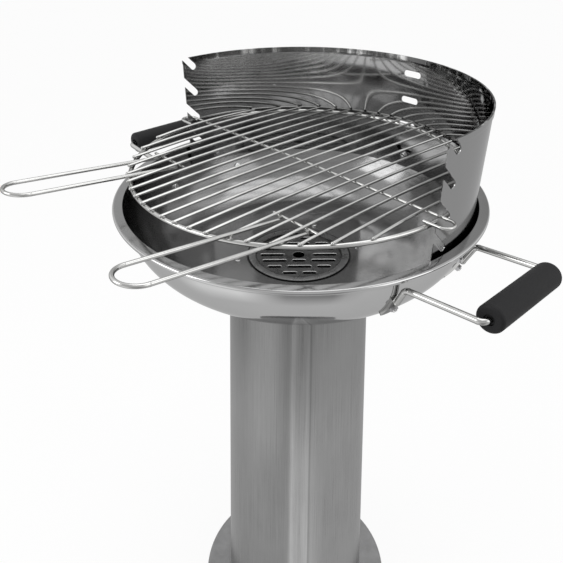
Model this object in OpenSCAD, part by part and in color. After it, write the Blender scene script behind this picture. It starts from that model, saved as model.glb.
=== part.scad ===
// Round charcoal grill on a column, with a half-round wind shield and a hook-in cooking grate.
// Millimetres. The origin is on the ground under the column's axis.
// +X is the side of the right handle, -Y is the open front and +Z is up.

/* [Bowl] */
// Height of the bowl's flange above the ground
flange_h = 840; // [700:1:950]
// Width of the flange from the mouth to its outer edge
flange_w = 12.4; // [8:0.1:25]
// Radius of the bowl's mouth, inside the flange
mouth_r = 222.6; // [205:0.1:245]
// Depth of the bowl, which is also the radius of its round wall
bowl_depth = 98; // [80:1:110]
// Thickness of the bowl's sheet
bowl_sheet = 1; // [0.8:0.1:1.5]
// Radius of the flange's rolled edge
curl_r = 3; // [2.2:0.1:5]
// Radius of the hole under the ember grate
floor_hole_r = 61; // [50:0.5:66]

/* [Column] */
// Outer radius of the column under the bowl
column_top_r = 94.5; // [90:0.5:110]
// Outer radius of the column at the base plate
column_foot_r = 131; // [120:0.5:140]
// Thickness of the column's sheet
column_sheet = 1; // [0.8:0.1:1.5]
// Direction of the lap seam's edge around the column
seam_az = -34; // [-60:1:0]
// Width of the lap seam as an angle
seam_span = 7; // [4:0.5:10]
// Width of the air opening at the back
opening_w = 96; // [88:1:98]
// Height of the air opening above the base plate
opening_h = 62; // [48:1:90]
// Corner radius of the air opening
opening_r = 14; // [6:1:20]

/* [Base] */
// Radius of the base plate
base_r = 178; // [160:1:220]
// Thickness of the base plate
base_t = 3; // [2:0.5:6]

/* [Brackets] */
// Angle between the front to back line and each bracket
bracket_az = 30; // [27:1:40]
// Thickness of the brackets
bracket_t = 1.5; // [1:0.1:2.5]
// Height of the bracket legs on the column
bracket_leg = 22; // [14:1:35]
// Width of the brackets as an angle, at the column's top
top_bracket_span = 12; // [8:1:14]
// Width of the brackets as an angle, at the column's foot
foot_bracket_span = 9; // [6:1:9]
// Gap between each bracket and the column's wall
bracket_gap = 0.02; // [0:0.01:0.05]
// Distance of the floor screws inside the top edge of the column
floor_screw_in = 10; // [8.5:0.5:12.5]
// How far the top brackets reach in from the top edge of the column
top_bracket_reach = 17.5; // [15.5:0.5:21.5]
// Distance of the base studs inside the foot edge of the column
stud_in = 13; // [12:0.5:15]
// How far the foot brackets reach in from the foot edge of the column
foot_bracket_reach = 23; // [20:0.5:24]

/* [Ash pan] */
// Width of the ash pan
pan_w = 84; // [70:1:86]
// Height of the ash pan
pan_h = 34; // [20:1:40]
// How far the pan reaches forward of the column's axis
pan_front = 99; // [60:1:112]
// How far the pan reaches behind the column's axis
pan_back = 121; // [100:1:122]
// Thickness of the pan's sheet
pan_sheet = 1; // [0.8:0.1:1.5]
// Length of the pan's pull lip
lip_len = 28; // [18:1:40]
// Width of the pan's pull lip
lip_w = 54; // [30:1:70]
// Height of the pan above the base plate
pan_gap = 0.1; // [0.05:0.05:0.5]

/* [Ember grate] */
// How far the ember grate lies over the edge of its hole
ember_lap = 8.7; // [6:0.1:12]
// Thickness of the ember grate
ember_t = 1.2; // [1:0.1:1.6]
// Radial gap between the ember grate's step and the floor hole
ember_gap = 0.6; // [0.4:0.1:1.5]
// Radius of the ember grate's middle hole
ember_hole_r = 7.8; // [5:0.1:9]
// Distance between the rows of slots
row_pitch = 15.3; // [14.4:0.1:15.6]
// Width of the slots
slot_w = 5.6; // [4:0.1:6.4]
// Thickness of the turned-down rims of the slots
slot_rim = 1; // [0.8:0.1:1.2]
// Depth of the turned-down rims below the grate
slot_drop = 2.4; // [1.5:0.1:4]
// Length of the long slots
long_slot = 32.4; // [28:0.1:33]
// Length of the short slots
short_slot = 18; // [15:0.1:18.4]
// How far the ember grate is turned
ember_turn = 47.7; // [-180:0.1:180]
// Gap under the ember grate's border
ember_seat = 0.05; // [0.02:0.01:0.2]

/* [Wind shield] */
// Gap between the shield and the bowl's mouth
shield_gap = 5.1; // [3.6:0.1:7.1]
// Height of the wind shield above the flange
shield_h = 126; // [122:1:150]
// Thickness of the shield's sheet
shield_sheet = 1; // [0.8:0.1:1.5]
// How far the shield's ends reach forward of the axis
shield_front = 17; // [14.5:0.5:17.5]
// Height of the folded hem at the shield's top
hem_h = 7; // [4:0.5:10]
// Gap between the shield's foot and the bowl's wall
shield_seat = 0.05; // [0.02:0.01:0.2]
// Width of the slanting notches
notch_w = 9; // [7:0.1:9.4]
// Height of the top notch's inner end above the flange
notch_top = 113; // [109:0.5:115]
// Vertical distance between the notches
notch_pitch = 36; // [32:0.5:37]
// Number of notches in each end
notch_n = 4; // [4:1:4]
// The notch that holds the cooking grate, counted from the top
grate_level = 3; // [1:1:4]
// Width of the rear slots
rear_slot_w = 28; // [25:0.5:34]
// Height of the rear slots
rear_slot_h = 8.5; // [8.4:0.1:11]
// Height of the shield's end screws below the flange
shield_screw_drop = 20; // [18:0.5:22]
// Height of the shield's rear screw below the flange
rear_screw_drop = 14.5; // [14:0.5:22]
// Angle between the side to side line and the end screws
shield_screw_az = 8; // [6:0.5:12]

/* [Cooking grate] */
// Distance of the ring's middle inside the shield
ring_gap = 9; // [7.5:0.5:17.5]
// Thickness of the ring's wire
ring_d = 5.5; // [4.5:0.1:6]
// Number of bars
bar_n = 20; // [16:2:20]
// Distance of the outermost bars inside the ring
bar_side = 16.98; // [14:0.01:24]
// Thickness of the bars
bar_d = 3.5; // [3:0.1:4]
// How far the bars pass the ring's centre line at the back
bar_rear = 5; // [3:0.1:6]
// How far the bars pass the ring's centre line at the front
bar_fore = 3; // [2.5:0.1:5]
// Extra thickness of the weld beads at the bars' front ends
bead = 0.4; // [0.1:0.1:0.6]
// Thickness of the cross wire
cross_d = 3.5; // [3:0.1:4]
// Distance between the two arms of the hooks at the cross wire's ends
hook_w = 20.5; // [19.8:0.1:24]
// How far the side hooks reach out past the shield
hook_out = 16.5; // [12.5:0.5:22.5]
// How far the ends of the side hooks lie inside the shield
hook_in = 14.5; // [12.5:0.5:22.5]
// Distance between the arms of the rear hook
rear_hook_w = 20; // [14:0.5:20.5]
// How far the rear hook reaches out past the shield
rear_hook_out = 2.1; // [1.1:0.1:2.3]
// Length of the rear hook's straight arms
rear_hook_arm = 6; // [4:0.5:12]
// How far crossing wires sink into each other at a weld
weld = 0.1; // [0.02:0.01:0.15]
// Gap under the hooks in their notches
hook_gap = 0.3; // [0.2:0.05:0.4]

/* [Grate handles] */
// Distance of the handles' inner arms from the middle
arm_x = 95.5; // [95.2:0.1:95.8]
// Distance between the two arms of a grate handle
loop_w = 40.5; // [40.2:0.1:40.8]
// Thickness of the handles' wire
loop_d = 4.5; // [4:0.1:4.8]
// Extra thickness where two lengths of wire or rod meet
swell = 0.25; // [0.1:0.05:0.3]
// How far the handles reach past the ring at its front
loop_out = 114.5; // [80:0.5:140]
// Angle at which the handles rise
loop_rise = 6.7; // [4:0.1:9]
// Distance of the short stays in front of the axis
stay_y = 117; // [105:0.5:120]
// Inner end of the stays
stay_in = 82; // [78:0.5:86]
// Outer end of the stays
stay_out = 147; // [145:0.5:149]

/* [Side handles] */
// Thickness of the side handles' rod
rod_d = 7; // [6:0.1:8]
// Distance of the rod's arms from the middle
arm_y = 64; // [62:0.5:70]
// Distance of the grips' axes from the bowl's mouth
grip_out = 87.9; // [72.5:0.1:102.5]
// Height of the grips' axis below the flange
grip_drop = 10; // [4:0.5:14]
// Thickness of the grips
grip_d = 30.5; // [26:0.5:34]
// Length of the grips
grip_len = 113; // [90:1:113]
// Rounding of the grips' ends
grip_round = 4; // [2:0.5:6]
// Extra thickness of the rod where it meets its feet
knuckle = 0.7; // [0.4:0.1:1]
// Radius of the rod's bends
rod_bend = 7; // [6:0.5:7]
// Gap between the rod and the grip's bore
grip_fit = 0.05; // [0.02:0.01:0.1]
// Width of the flattened feet
foot_w = 12; // [10:0.5:14]
// Thickness of the flattened feet
foot_t = 3; // [2:0.1:3.5]
// Slant of the rods' knees on the bowl's round wall
knee_slant = 9.5; // [8:0.5:11]
// Distance of the rods' knees from the bowl's wall
knee_out = 8.5; // [7.5:0.5:12]
// Slant of the feet's upper ends on the bowl's round wall
foot_from = 21; // [20:0.5:22]
// Slant of the feet's lower ends on the bowl's round wall
foot_to = 40; // [37:0.5:44]
// Slant of the handle screws on the bowl's round wall
foot_bolt = 29; // [27:0.5:31]
// Gap between the feet and the bowl
foot_gap = 0.02; // [0:0.01:0.05]

/* [Fasteners] */
// Thickness of the floor screws
m4_d = 4; // [3:0.5:4]
// Thickness of the base studs and of the shield and handle screws
m5_d = 5; // [4:0.5:5]
// Radial gap around each screw in its hole
hole_gap = 0.1; // [0.05:0.01:0.3]
// Radial gap between each nut and its screw
nut_gap = 0.05; // [0.02:0.01:0.1]
// Gap under a head that sits on a round wall
head_gap = 0.15; // [0.12:0.01:0.25]

/* [Hidden] */
$fn = 72;

steel = [0.78, 0.78, 0.79];
brushed = [0.62, 0.62, 0.63];
wire = [0.84, 0.84, 0.85];
zinc = [0.7, 0.7, 0.72];
black = [0.16, 0.16, 0.17];

// Sizes that follow from the ones above
flange_r = mouth_r + flange_w;
floor_z = flange_h - bowl_depth;
floor_edge_r = mouth_r - bowl_depth;
shield_r = mouth_r - shield_gap;
ring_r = shield_r - ring_gap;
bar_pitch = 2 * (ring_r - bar_side) / (bar_n - 1);
hook_tip = shield_r + hook_out;
hook_end = shield_r - hook_in;
rear_hook_tip = shield_r + rear_hook_out;
loop_tip = ring_r + loop_out;
grip_x = mouth_r + grip_out;
ember_r = floor_hole_r + ember_lap;
floor_screw_r = column_top_r - floor_screw_in;
top_bracket_in = column_top_r - top_bracket_reach;
stud_r = column_foot_r - stud_in;
foot_bracket_in = column_foot_r - foot_bracket_reach;
column_top_z = floor_z - bowl_sheet;
bracket_dirs = [90 - bracket_az, 90 + bracket_az, 270 - bracket_az, 270 + bracket_az];

// Outer radius of the column at a height
function column_r(z) = column_foot_r
  + (column_top_r - column_foot_r) * (z - base_t) / (column_top_z - base_t);
// Radius where a bracket stands against the column
function leg_r(z) = column_r(z) - column_sheet - bracket_gap;

// Heights of the shield and of the cooking grate
shield_top = flange_h + shield_h;
shield_foot = flange_h + shield_seat - sqrt(pow(bowl_depth, 2) - pow(shield_r - floor_edge_r, 2));
function notch_z(k) = flange_h + notch_top - (k - 1) * notch_pitch;
cross_z = notch_z(grate_level) - notch_w / 2 + cross_d / 2 + hook_gap;
ring_z = cross_z - cross_d / 2 - ring_d / 2 + weld;
bar_end_z = ring_z + ring_d / 2 + bar_d / 2 - weld;
bar_mid_z = cross_z + cross_d / 2 + bar_d / 2 - weld;
rear_hook_z = ring_z - ring_d / 2 - cross_d / 2 + weld;
rear_slot_z = rear_hook_z - cross_d / 2 - hook_gap + rear_slot_h / 2;
shield_dirs = [shield_screw_az, 90, 180 - shield_screw_az];

// Places of the bars, and the half length of a wire across the ring
function bar_x(i) = (i - (bar_n - 1) / 2) * bar_pitch;
function chord(x) = sqrt(pow(ring_r, 2) - pow(x, 2));
// Radius of a bar's slight arch, from the ring over the cross wire and down to the ring
bar_arch = bar_mid_z - bar_end_z;
function arch_r(x) = (pow(chord(x), 2) + pow(bar_arch, 2)) / (2 * bar_arch);
function bar_z(x, y) = bar_mid_z - arch_r(x) + sqrt(pow(arch_r(x), 2) - pow(y, 2));
stay_bar = floor(stay_out / bar_pitch + (bar_n - 1) / 2);
stay_z = bar_z(bar_x(stay_bar), stay_y) - bar_d / 2 - cross_d / 2 + weld;

// Line of the grate handles
loop_x = arm_x + loop_w / 2;
loop_zero_y = -chord(arm_x + loop_w);
loop_zero_z = ring_z + ring_d / 2 + loop_d / 2 - weld;
function loop_z(y) = loop_zero_z + (loop_zero_y - y) * tan(loop_rise);
loop_start = -stay_y - cross_d / 2 - loop_d / 2 + weld;
loop_bend_y = -loop_tip + (loop_w + loop_d) / 2 * cos(loop_rise);

// Line of the side handles' rods
knee_wall = bowl_depth + bowl_sheet + knee_out;
rod_start_r = floor_edge_r + knee_wall * cos(knee_slant);
rod_start_z = flange_h - knee_wall * sin(knee_slant);
leg_wall = bowl_depth + bowl_sheet + foot_gap + (rod_d + knuckle) / 2 + 0.3;
leg_slant = foot_from + 2;
foot_az = asin(arm_y / rod_start_r);
rod_start_x = rod_start_r * cos(foot_az);
grip_z = flange_h - grip_drop;
rod_len = sqrt(pow(grip_x - rod_start_x, 2) + pow(grip_z - rod_start_z, 2));
rod_tilt = atan2(grip_z - rod_start_z, grip_x - rod_start_x);
foot_dirs = [foot_az, -foot_az, 180 - foot_az, 180 + foot_az];

// Sizes of the heads and nuts
head4_d = m4_d * 1.85;
head4_h = m4_d * 0.6;
nut4_w = m4_d * 1.75;
nut4_h = m4_d * 0.75;
head5_d = m5_d * 1.8;
head5_h = m5_d * 0.6;
nut5_w = m5_d * 1.6;
nut5_h = m5_d * 0.8;
tail = 1.5;
cut_run = 40;

// Point beside the bowl's round wall: direction, distance from the wall's centre and slant
function wall_r(d, slant) = floor_edge_r + d * cos(slant);
function wall_point(az, d, slant) = [
  wall_r(d, slant) * cos(az),
  wall_r(d, slant) * sin(az),
  flange_h - d * sin(slant)
];

// How far a bend of radius r reaches from its corner along its two sides
function bend_run(side_a, side_b, r) = r * tan(90 - acos(side_a * side_b) / 2);

// Turn that takes X to e and Z to n, which are square to each other
function turn_to(e, n) = [atan2(cross(n, e)[2], n[2]), -asin(e[2]), atan2(e[1], e[0])];

// A ball whose poles lie on the line of a rod
module rod_ball(p, along, d) {
  translate(p)
    rotate([0, acos(along[2]), atan2(along[1], along[0])])
      sphere(d = d);
}

// Round bend of a rod at a corner, between sides that leave it in two directions
module corner_bend(corner, side_a, side_b, r, d) {
  turn = 180 - acos(side_a * side_b);
  run = bend_run(side_a, side_b, r);
  middle = corner + (side_a + side_b) / norm(side_a + side_b) * r / cos(turn / 2);
  e = (corner + run * side_a - middle) / r;
  f = (corner + run * side_b - middle) / r;
  translate(middle)
    rotate(turn_to(e, cross(e, f) / sin(turn)))
      rotate_extrude(angle = turn)
        translate([r, 0])
          circle(d = d);
  rod_ball(corner + run * side_a, side_a, d + swell);
  rod_ball(corner + run * side_b, side_b, d + swell);
}

// A round wire between two points
module rod(p, q, d) {
  v = q - p;
  translate(p)
    rotate([0, acos(v[2] / norm(v)), atan2(v[1], v[0])])
      cylinder(d = d, h = norm(v));
}

// Pan head screw, with its head above zero and its shank below
module pan_screw(d, len, head_d, head_h) {
  difference() {
    union() {
      rotate_extrude() {
        square([head_d / 2, head_h - 1]);
        square([head_d / 2 - 1, head_h]);
        translate([head_d / 2 - 1, head_h - 1])
          intersection() {
            circle(1);
            square(1);
          }
      }
      translate([0, 0, -len])
        cylinder(d = d, h = len + 0.5);
    }
    for (a = [0, 90])
      rotate([0, 0, a])
        translate([-head_d / 4, -0.5, head_h - 1.2])
          cube([head_d / 2, 1, 2]);
  }
}

// Hexagon nut standing on zero
module nut(d, w, h) {
  difference() {
    cylinder(d = w / cos(30), h = h, $fn = 6);
    translate([0, 0, -1])
      cylinder(d = d + 2 * nut_gap, h = h + 2);
  }
}

// Moves a child to the bowl's round wall, with its X axis along the outward normal
module at_wall(az, slant) {
  rotate([0, 0, az])
    translate([floor_edge_r, 0, flange_h])
      rotate([0, slant, 0])
        children();
}

// Height of a shield screw below the flange
function screw_drop(az) = az == 90 ? rear_screw_drop : shield_screw_drop;

// Moves a child to a shield screw's axis, with its Z axis pointing at the grill's axis
module at_shield_screw(az) {
  rotate([0, 0, az])
    translate([shield_r - shield_sheet - head_gap, 0, flange_h - screw_drop(az)])
      rotate([0, -90, 0])
        children();
}

// Slot with round ends along X
module stadium(len, w) {
  square([len - w, w], center = true);
  for (s = [-1, 1])
    translate([s * (len - w) / 2, 0])
      circle(d = w);
}

module base_plate() {
  color(brushed)
    rotate_extrude() {
      square([base_r - base_t / 2, base_t]);
      translate([base_r - base_t / 2, base_t / 2])
        intersection() {
          circle(d = base_t);
          translate([0, -base_t])
            square(2 * base_t);
        }
    }
}

module base_studs() {
  color(zinc)
    for (a = bracket_dirs)
      rotate([0, 0, a])
        translate([stud_r, 0, base_t])
          cylinder(d = m5_d, h = bracket_t + nut5_h + tail);
}

module base_nuts() {
  color(zinc)
    for (a = bracket_dirs)
      rotate([0, 0, a])
        translate([stud_r, 0, base_t + bracket_t])
          nut(m5_d, nut5_w, nut5_h);
}

module column_foot_brackets() {
  low = base_t;
  high = base_t + bracket_leg;
  color(zinc)
    for (a = bracket_dirs)
      difference() {
        rotate([0, 0, a - foot_bracket_span / 2])
          rotate_extrude(angle = foot_bracket_span)
            polygon([
              [foot_bracket_in, low],
              [leg_r(low), low],
              [leg_r(high), high],
              [leg_r(high) - bracket_t, high],
              [leg_r(low + bracket_t) - bracket_t, low + bracket_t],
              [foot_bracket_in, low + bracket_t]
            ]);
        rotate([0, 0, a])
          translate([stud_r, 0, low - 1])
            cylinder(d = m5_d + 2 * hole_gap, h = bracket_t + 2);
      }
}

module column_top_brackets() {
  high = column_top_z;
  low = column_top_z - bracket_leg;
  color(zinc)
    for (a = bracket_dirs)
      difference() {
        rotate([0, 0, a - top_bracket_span / 2])
          rotate_extrude(angle = top_bracket_span)
            polygon([
              [top_bracket_in, high],
              [leg_r(high), high],
              [leg_r(low), low],
              [leg_r(low) - bracket_t, low],
              [leg_r(high - bracket_t) - bracket_t, high - bracket_t],
              [top_bracket_in, high - bracket_t]
            ]);
        rotate([0, 0, a])
          translate([floor_screw_r, 0, high - bracket_t - 1])
            cylinder(d = m4_d + 2 * hole_gap, h = bracket_t + 2);
      }
}

module column() {
  color(brushed)
    difference() {
      rotate_extrude()
        polygon([
          [column_foot_r - column_sheet, base_t],
          [column_foot_r + column_sheet, base_t],
          [column_top_r + column_sheet, column_top_z],
          [column_top_r - column_sheet, column_top_z]
        ]);
      // the lap seam keeps both layers, and the rest of the column keeps the inner one
      rotate([0, 0, seam_az])
        rotate_extrude(angle = 360 - seam_span)
          polygon([
            [column_r(0), 0],
            [column_foot_r + 9, 0],
            [column_foot_r + 9, column_top_z + 9],
            [column_r(column_top_z + 9), column_top_z + 9]
          ]);
      translate([0, column_foot_r + 10, 0])
        rotate([90, 0, 0])
          linear_extrude(column_foot_r / 2) {
            translate([-opening_w / 2, 0])
              square([opening_w, base_t + opening_h - opening_r]);
            translate([-opening_w / 2 + opening_r, 0])
              square([opening_w - 2 * opening_r, base_t + opening_h]);
            for (s = [-1, 1])
              translate([s * (opening_w / 2 - opening_r), base_t + opening_h - opening_r])
                circle(opening_r);
          }
    }
}

module ash_pan() {
  z = base_t + pan_gap;
  color(steel) {
    difference() {
      translate([-pan_w / 2, -pan_front, z])
        cube([pan_w, pan_front + pan_back, pan_h]);
      translate([-pan_w / 2 + pan_sheet, -pan_front + pan_sheet, z + pan_sheet])
        cube([pan_w - 2 * pan_sheet, pan_front + pan_back - 2 * pan_sheet, pan_h]);
    }
    translate([-lip_w / 2, pan_back - pan_sheet, z + pan_h - pan_sheet])
      cube([lip_w, lip_len + pan_sheet, pan_sheet]);
    translate([-lip_w / 2, pan_back + lip_len - pan_sheet, z + pan_h - 8])
      cube([lip_w, pan_sheet, 8]);
  }
}

module fire_bowl() {
  color(steel)
    difference() {
      rotate_extrude($fn = 144) {
        translate([floor_hole_r, floor_z - bowl_sheet])
          square([floor_edge_r - floor_hole_r, bowl_sheet]);
        translate([floor_edge_r, flange_h])
          intersection() {
            difference() {
              circle(bowl_depth + bowl_sheet);
              circle(bowl_depth);
            }
            translate([0, -bowl_depth - 2 * bowl_sheet])
              square(bowl_depth + 2 * bowl_sheet);
          }
        translate([mouth_r, flange_h - bowl_sheet])
          square([flange_r - curl_r - mouth_r, bowl_sheet]);
        translate([flange_r - curl_r, flange_h - curl_r])
          difference() {
            circle(curl_r);
            circle(curl_r - bowl_sheet);
            translate([-2 * curl_r, -2 * curl_r])
              square([2 * curl_r, 4 * curl_r]);
          }
      }
      for (a = bracket_dirs)
        rotate([0, 0, a])
          translate([floor_screw_r, 0, floor_z - bowl_sheet - 1])
            cylinder(d = m4_d + 2 * hole_gap, h = bowl_sheet + 2);
      for (a = foot_dirs)
        at_wall(a, foot_bolt)
          translate([bowl_depth - 3, 0, 0])
            rotate([0, 90, 0])
              cylinder(d = m5_d + 2 * hole_gap, h = bowl_sheet + 6);
      for (a = shield_dirs)
        at_shield_screw(a)
          translate([0, 0, -14])
            cylinder(d = m5_d + 2 * hole_gap, h = 14);
    }
}

module floor_screws() {
  color(zinc)
    for (a = bracket_dirs)
      rotate([0, 0, a])
        translate([floor_screw_r, 0, floor_z])
          pan_screw(m4_d, bowl_sheet + bracket_t + nut4_h + tail, head4_d, head4_h);
}

module floor_nuts() {
  color(zinc)
    for (a = bracket_dirs)
      rotate([0, 0, a])
        translate([floor_screw_r, 0, column_top_z - bracket_t - nut4_h])
          nut(m4_d, nut4_w, nut4_h);
}

// Slots of one row, as pairs of a place and a length
function slot_row(k) = abs(k) == 0 ? [[-36, long_slot], [36, long_slot]]
  : abs(k) == 1 ? [[-33, long_slot], [0, short_slot], [33, long_slot]]
  : abs(k) == 2 ? [[-33, short_slot], [0, long_slot], [33, short_slot]]
  : [[-12.7, short_slot], [12.7, short_slot]];

module ember_slots(w) {
  for (k = [-3:3])
    for (s = slot_row(k))
      translate([s[0], k * row_pitch])
        stadium(s[1] - slot_w + w, w);
}

module ember_grate() {
  step_r = floor_hole_r - ember_gap;
  seat_z = floor_z + ember_seat;
  panel_z = seat_z - ember_t;
  color(brushed)
    rotate([0, 0, ember_turn])
      difference() {
        union() {
          rotate_extrude() {
            translate([step_r - ember_t, seat_z])
              square([ember_r - step_r + ember_t, ember_t]);
            translate([step_r - ember_t, panel_z])
              square([ember_t, 2 * ember_t]);
            translate([ember_hole_r, panel_z])
              square([step_r - ember_hole_r, ember_t]);
          }
          translate([0, 0, panel_z - slot_drop])
            linear_extrude(slot_drop + ember_t / 2)
              ember_slots(slot_w + 2 * slot_rim);
        }
        translate([0, 0, panel_z - slot_drop - 1])
          linear_extrude(slot_drop + ember_t + 2)
            ember_slots(slot_w);
      }
}

module shield_notch() {
  rotate([90, 0, 90])
    translate([0, 0, -cut_run / 2])
      linear_extrude(cut_run)
        rotate([0, 0, 135]) {
          circle(d = notch_w);
          translate([0, -notch_w / 2])
            square([4 * shield_front, notch_w]);
        }
}

module wind_shield() {
  end_az = asin(shield_front / shield_r);
  color(steel)
    difference() {
      rotate([0, 0, -end_az])
        rotate_extrude(angle = 180 + 2 * end_az, $fn = 144) {
          translate([shield_r - shield_sheet, shield_foot])
            square([shield_sheet, shield_top - shield_foot]);
          translate([shield_r - shield_sheet, shield_top - hem_h])
            square([2 * shield_sheet, hem_h]);
        }
      for (s = [-1, 1])
        for (k = [1:notch_n])
          translate([s * shield_r, 0, notch_z(k)])
            shield_notch();
      for (k = [grate_level - notch_n:grate_level - 1])
        translate([0, shield_r + cut_run / 4, rear_slot_z + k * notch_pitch])
          rotate([90, 0, 0])
            linear_extrude(cut_run / 2)
              stadium(rear_slot_w, rear_slot_h);
      for (a = shield_dirs)
        at_shield_screw(a)
          translate([0, 0, -8])
            cylinder(d = m5_d + 2 * hole_gap, h = 16);
    }
}

// Radius at which a nut stands on the outside of the bowl's slanting wall
function shield_nut_r(az) = floor_edge_r
  + sqrt(pow(bowl_depth + bowl_sheet, 2) - pow(screw_drop(az) - nut5_w / cos(30) / 2, 2));
function shield_screw_len(az) = shield_nut_r(az) - shield_r + shield_sheet + head_gap + nut5_h + tail;

module shield_screws() {
  color(zinc)
    for (a = shield_dirs)
      at_shield_screw(a)
        pan_screw(m5_d, shield_screw_len(a), head5_d, head5_h);
}

module shield_nuts() {
  color(zinc)
    for (a = shield_dirs)
      rotate([0, 0, a])
        translate([shield_nut_r(a), 0, flange_h - screw_drop(a)])
          rotate([0, 90, 0])
            nut(m5_d, nut5_w, nut5_h);
}

// Foot of a side handle, along the bowl's round wall
module handle_foot() {
  in_r = bowl_depth + bowl_sheet + foot_gap;
  mid = (foot_from + foot_to) / 2;
  far = 2 * in_r;
  difference() {
    union() {
      translate([0, foot_w / 2, 0])
        rotate([90, 0, 0])
          linear_extrude(foot_w)
            intersection() {
              difference() {
                circle(in_r + foot_t);
                circle(in_r);
              }
              polygon([
                [0, 0],
                [far * cos(foot_from), -far * sin(foot_from)],
                [far * cos(mid), -far * sin(mid)],
                [far * cos(foot_to), -far * sin(foot_to)]
              ]);
            }
      rotate([0, foot_to, 0])
        translate([in_r, 0, 0])
          rotate([0, 90, 0])
            cylinder(d = foot_w, h = foot_t);
    }
    rotate([0, foot_bolt, 0])
      translate([in_r - 2, 0, 0])
        rotate([0, 90, 0])
          cylinder(d = m5_d + 2 * hole_gap, h = foot_t + 4);
  }
}

// Front half of the right side handle: a foot, a leg, an arm and a bend
module handle_arm() {
  arm = [cos(rod_tilt), 0, sin(rod_tilt)];
  knee = wall_point(-foot_az, knee_wall, knee_slant);
  end = wall_point(-foot_az, leg_wall, leg_slant);
  leg = (end - knee) / norm(end - knee);
  run = bend_run(leg, arm, rod_bend);
  at_wall(-foot_az, 0)
    handle_foot();
  rod_ball(end, leg, rod_d + knuckle);
  rod(end, knee + run * leg, rod_d);
  corner_bend(knee, leg, arm, rod_bend, rod_d);
  translate(knee)
    rotate([0, -rod_tilt, 0]) {
      translate([run, 0, 0])
        rotate([0, 90, 0])
          cylinder(d = rod_d, h = rod_len - rod_bend - run);
      // each ball at an end of the bend has its poles on the rod's own line
      translate([rod_len - rod_bend, 0, 0])
        rotate([0, 90, 0])
          sphere(d = rod_d + swell);
      translate([rod_len, rod_bend, 0])
        rotate([90, 0, 0])
          sphere(d = rod_d + swell);
      translate([rod_len - rod_bend, rod_bend, 0])
        rotate([0, 0, -90])
          rotate_extrude(angle = 90)
            translate([rod_bend, 0])
              circle(d = rod_d);
    }
}

// Right side handle: two alike halves and the bar through the grip
module handle_rod() {
  handle_arm();
  mirror([0, 1, 0])
    handle_arm();
  translate([grip_x, arm_y - rod_bend, grip_z])
    rotate([90, 0, 0])
      cylinder(d = rod_d, h = 2 * (arm_y - rod_bend));
}

module handle_rod_right() {
  color(wire)
    handle_rod();
}

module handle_rod_left() {
  color(wire)
    mirror([1, 0, 0])
      handle_rod();
}

module grip() {
  bore = rod_d / 2 + grip_fit;
  r = grip_d / 2;
  translate([grip_x, 0, grip_z])
    rotate([90, 0, 0])
      difference() {
        rotate_extrude() {
          translate([bore, -grip_len / 2])
            square([r - grip_round - bore, grip_len]);
          translate([bore, -grip_len / 2 + grip_round])
            square([r - bore, grip_len - 2 * grip_round]);
          for (s = [-1, 1])
            translate([r - grip_round, s * (grip_len / 2 - grip_round)])
              circle(grip_round);
        }
        for (s = [-1, 1])
          translate([0, 0, s * grip_len / 2])
            cylinder(d = rod_d + 5, h = 4, center = true);
      }
}

module grip_right() {
  color(black)
    grip();
}

module grip_left() {
  color(black)
    mirror([1, 0, 0])
      grip();
}

module handle_screws() {
  len = head_gap + bowl_sheet + foot_gap + foot_t + nut5_h + tail;
  color(zinc)
    for (a = foot_dirs)
      at_wall(a, foot_bolt)
        translate([bowl_depth - head_gap, 0, 0])
          rotate([0, -90, 0])
            pan_screw(m5_d, len, head5_d, head5_h);
}

module handle_nuts() {
  color(zinc)
    for (a = foot_dirs)
      at_wall(a, foot_bolt)
        translate([bowl_depth + bowl_sheet + foot_gap + foot_t, 0, 0])
          rotate([0, 90, 0])
            nut(m5_d, nut5_w, nut5_h);
}

module grate_ring() {
  color(wire)
    translate([0, 0, ring_z])
      rotate_extrude($fn = 144)
        translate([ring_r, 0])
          circle(d = ring_d, $fn = 24);
}

module grate_bars() {
  color(wire)
    for (i = [0:bar_n - 1]) {
      x = bar_x(i);
      rear = chord(x) + bar_rear;
      fore = chord(x) + bar_fore;
      arch = arch_r(x);
      rear_a = asin(rear / arch);
      fore_a = asin(fore / arch);
      translate([x, 0, bar_mid_z - arch])
        rotate([90, 0, 90]) {
          rotate([0, 0, 90 - rear_a])
            rotate_extrude(angle = rear_a + fore_a)
              translate([arch, 0])
                circle(d = bar_d, $fn = 24);
          rotate([0, 0, 90 + fore_a])
            translate([arch, 0])
              sphere(d = bar_d + bead, $fn = 24);
        }
    }
}

module grate_cross_wire() {
  bend = hook_w / 2;
  bend_x = hook_tip - cross_d / 2 - bend;
  color(wire)
    translate([0, 0, cross_z]) {
      rod([-bend_x, 0, 0], [bend_x, 0, 0], cross_d);
      for (s = [-1, 1]) {
        translate([s * bend_x, -bend, 0])
          rotate([0, 0, s > 0 ? -90 : 90])
            rotate_extrude(angle = 180)
              translate([bend, 0])
                circle(d = cross_d);
        rod([s * bend_x, -hook_w, 0], [s * hook_end, -hook_w, 0], cross_d);
      }
    }
}

module grate_rear_hook() {
  bend = rear_hook_w / 2;
  bend_y = rear_hook_tip - cross_d / 2 - bend;
  color(wire)
    translate([0, bend_y, rear_hook_z]) {
      rotate_extrude(angle = 180)
        translate([bend, 0])
          circle(d = cross_d);
      for (s = [-1, 1])
        rod([s * bend, 0, 0], [s * bend, -rear_hook_arm, 0], cross_d);
    }
}

module grate_stays() {
  color(wire)
    for (s = [-1, 1])
      rod([s * stay_in, -stay_y, stay_z], [s * stay_out, -stay_y, stay_z], cross_d);
}

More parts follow.
